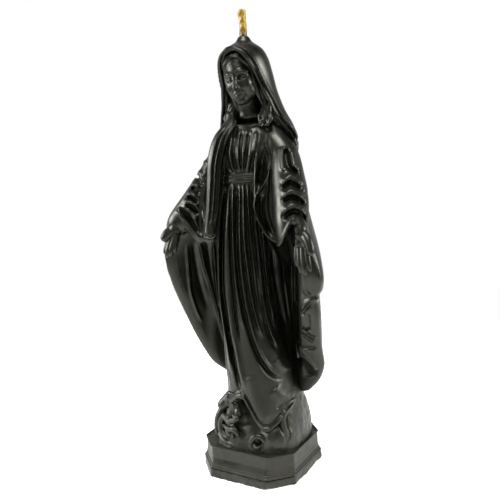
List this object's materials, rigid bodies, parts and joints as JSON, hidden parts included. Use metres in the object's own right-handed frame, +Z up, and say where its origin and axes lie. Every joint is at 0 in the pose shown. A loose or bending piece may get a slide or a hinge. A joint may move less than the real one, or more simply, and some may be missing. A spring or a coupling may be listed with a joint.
{
  "type": "figure candle",
  "caption": "Wax candle cast as a robed, veiled woman standing with open hands on a plinth with cut-off corners. It is burned from the waxed wick in the crown.",
  "frame": {"origin": "middle of the underside, on the flat face of the top-up pour", "axes": "+Z up along the wick; the figure looks along -Y; its left hand is on the +X side"},
  "size_m": [0.0794, 0.0484, 0.2115],
  "materials": {
    "black_wax": "dyed candle wax, semi-gloss along the folds, duller with a faint bloom near the foot",
    "yellow_wick_wax": "golden yellow primer wax, slightly translucent",
    "cotton_braid": "braided cotton soaked in yellow wax"
  },
  "bodies": {
    "root": {"wax_figure": "black_wax", "base_top_up_pour": "black_wax", "wick_wax_coat": "yellow_wick_wax", "wick_braid": "cotton_braid"}
  },
  "joints": []
}
